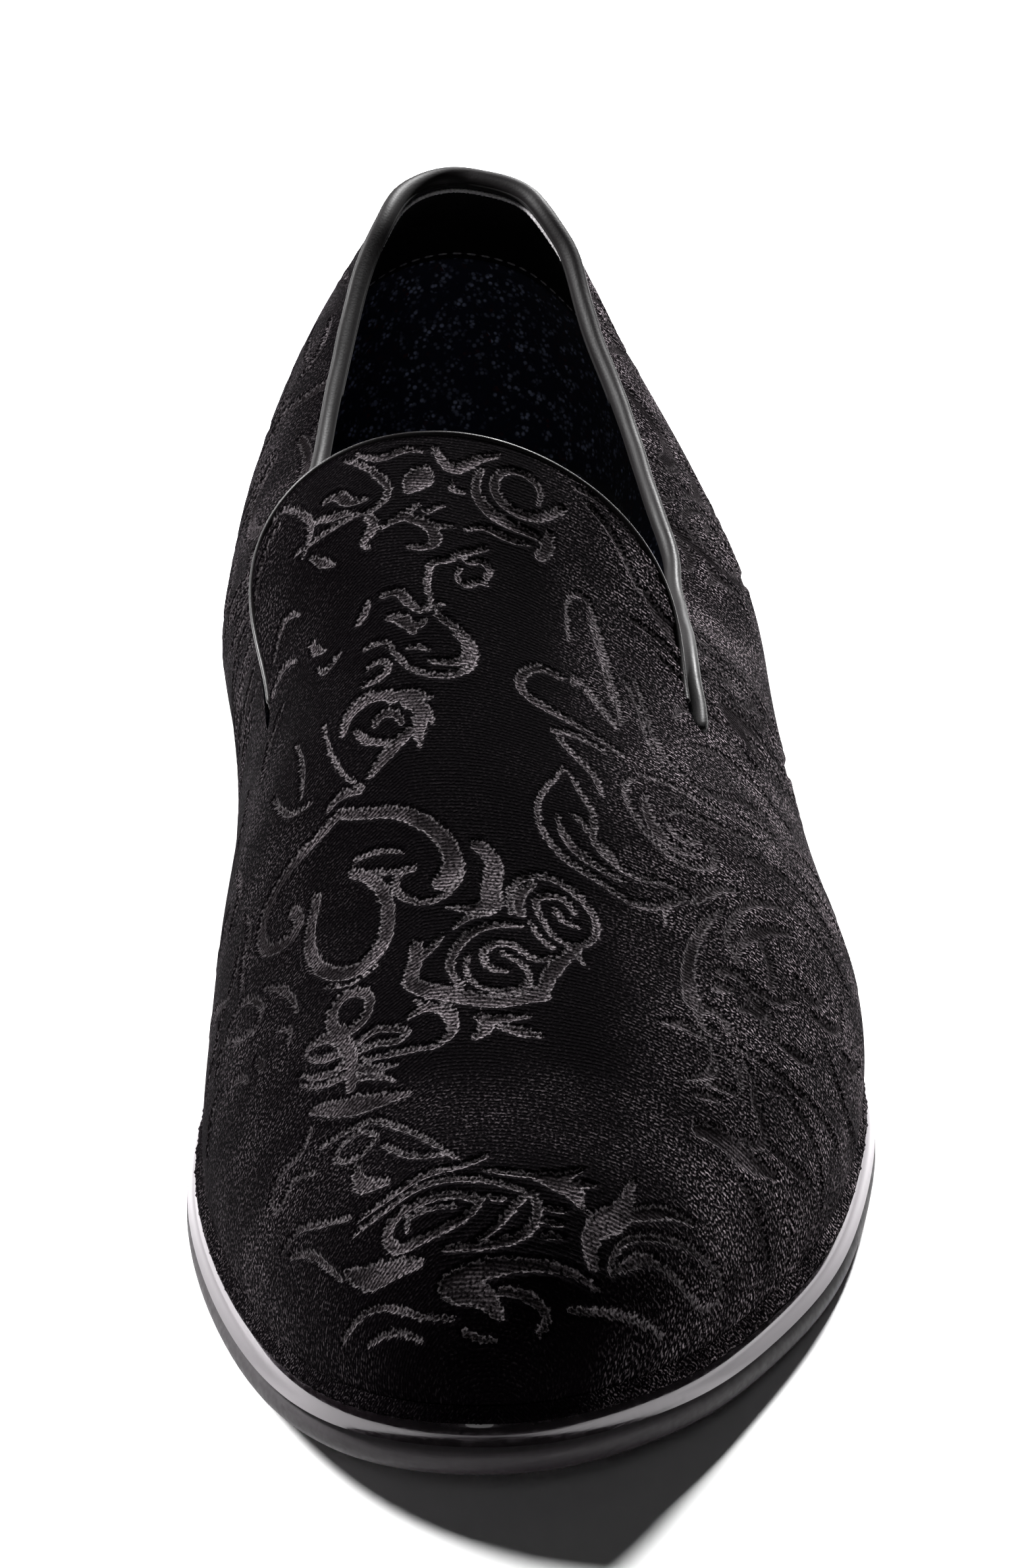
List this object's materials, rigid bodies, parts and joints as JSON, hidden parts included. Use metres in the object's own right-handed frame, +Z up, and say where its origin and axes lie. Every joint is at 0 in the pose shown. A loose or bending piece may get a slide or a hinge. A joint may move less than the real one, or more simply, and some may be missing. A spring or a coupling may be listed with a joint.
{
  "type": "slipper loafer",
  "caption": "Low slip-on dress shoe with a tall rounded tongue cut in one with the vamp, a rolled collar edge, a deep notch each side of the tongue and a thin welted sole with a low heel.",
  "frame": {"origin": "on the floor under the middle of the shoe's bounding box", "axes": "+Z up, -Y toward the toe, +X toward the outer side of the left foot"},
  "size_m": [0.1068, 0.3022, 0.0879],
  "materials": {
    "velvet": "black velvet with an embossed scroll pattern",
    "binding_leather": "black satin leather",
    "piping_leather": "black leather, turned edge with a thin shine",
    "lining_print": "navy black textile with small blue-grey flowers",
    "welt_edge": "black dressed leather edge, glossy",
    "outsole_edge": "matt dark brown leather sole",
    "heel_stack": "black dressed heel stack",
    "top_lift_rubber": "matt black rubber"
  },
  "bodies": {
    "root": {"upper": "velvet", "collar_binding": "binding_leather", "vamp_piping": "piping_leather", "insole": "lining_print", "welt": "welt_edge", "outsole": "outsole_edge", "heel_block": "heel_stack", "top_lift": "top_lift_rubber"}
  },
  "joints": []
}
